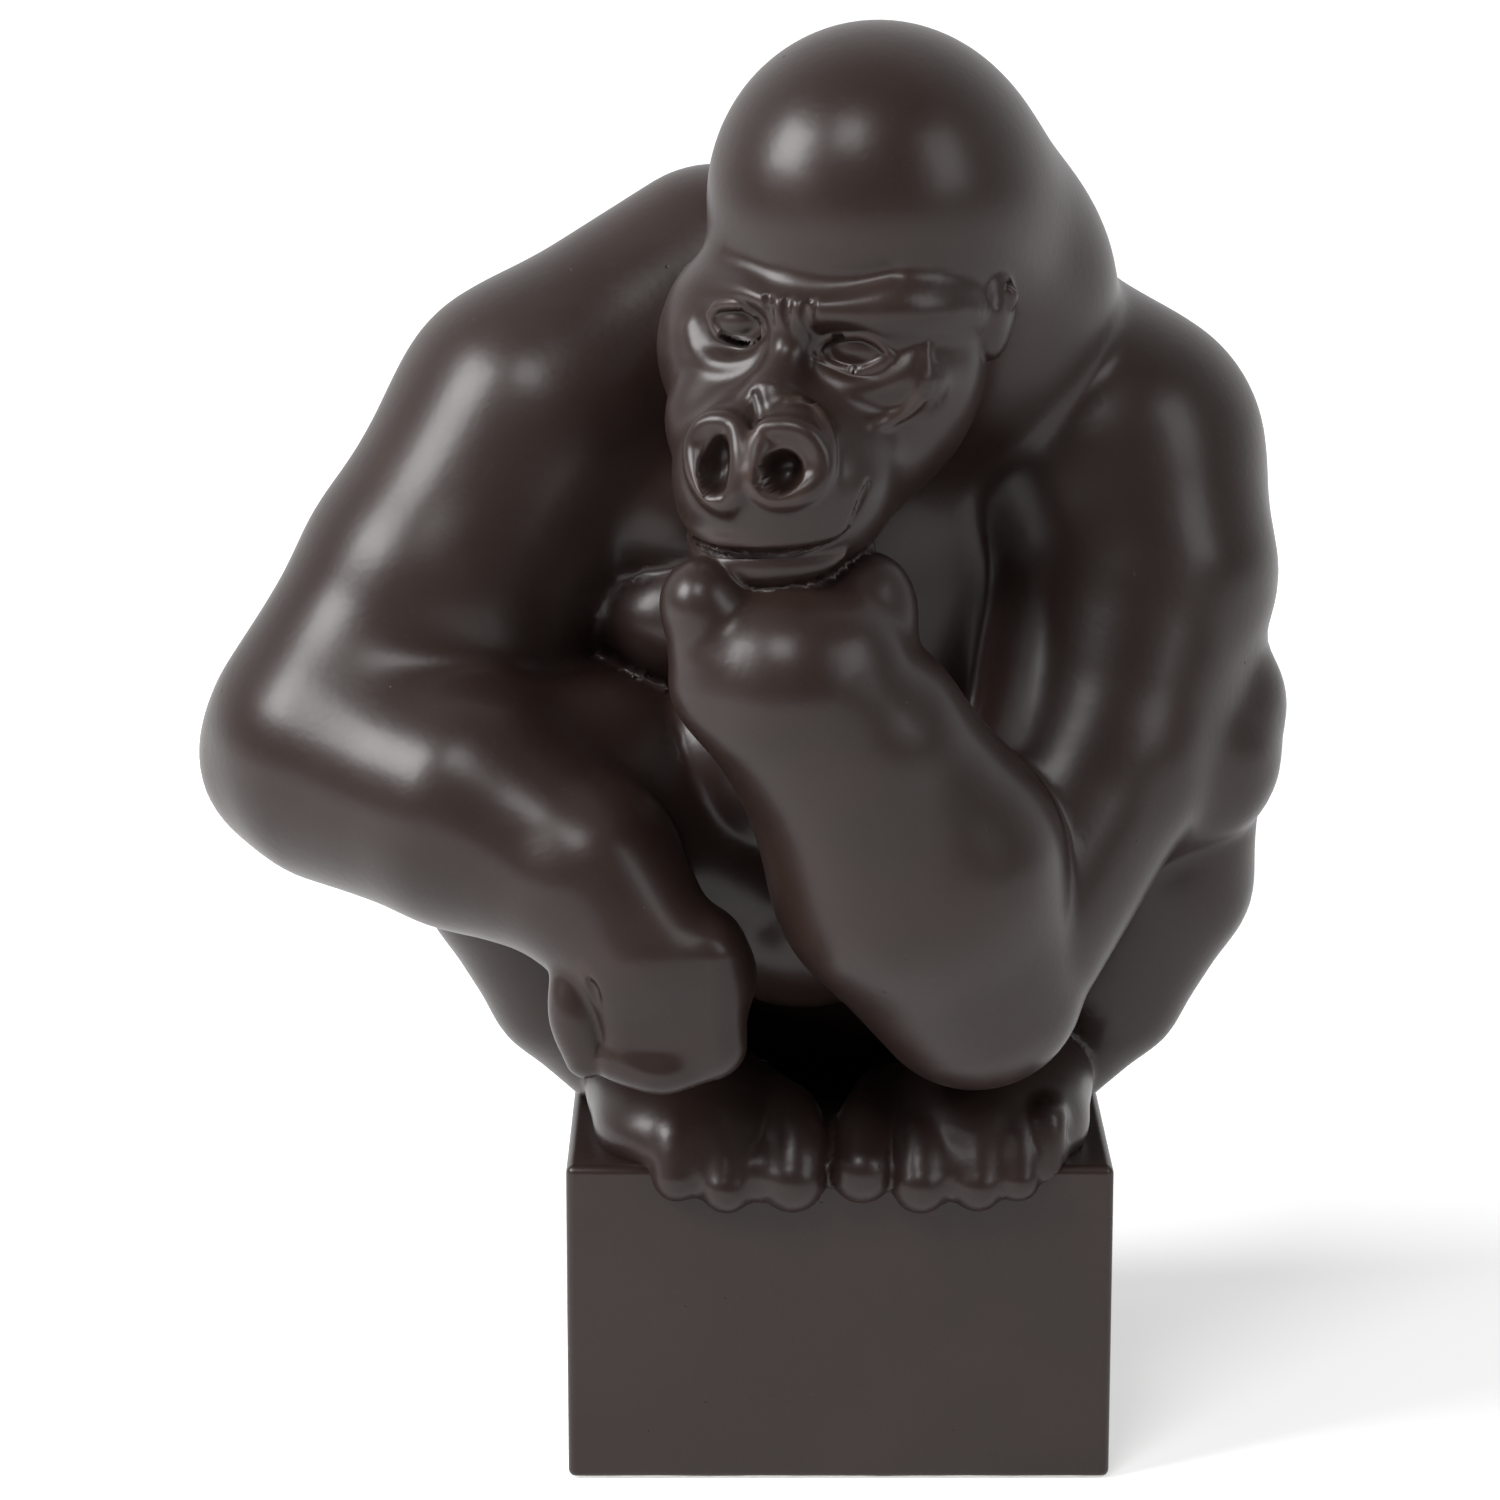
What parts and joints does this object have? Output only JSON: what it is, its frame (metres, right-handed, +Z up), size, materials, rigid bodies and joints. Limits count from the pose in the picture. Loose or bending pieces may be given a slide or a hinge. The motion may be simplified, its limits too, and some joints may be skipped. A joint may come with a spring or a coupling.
{
  "type": "ape figurine",
  "caption": "Glazed porcelain gorilla squatting on a square plinth, chin resting on its left fist, right hand hanging over its foot.",
  "frame": {"origin": "centre of the plinth's flat underside", "axes": "+Z up, -Y towards the front edge that the toes hook over, +X towards the figure's left side"},
  "size_m": [0.3023, 0.2129, 0.4004],
  "materials": {
    "glaze": "dark brown-black satin glaze",
    "bare_porcelain": "unglazed, wiped white bisque"
  },
  "bodies": {
    "root": {"plinth": "glaze", "torso": "glaze", "head": "glaze", "left_ear": "glaze", "right_ear": "glaze", "left_upper_arm": "glaze", "right_upper_arm": "glaze", "left_forearm": "glaze", "right_forearm": "glaze", "left_hand": "glaze", "right_hand": "glaze", "left_thigh": "glaze", "right_thigh": "glaze", "left_shin": "glaze", "right_shin": "glaze", "left_foot": "glaze", "right_foot": "glaze", "underside_slab": "bare_porcelain"}
  },
  "joints": []
}
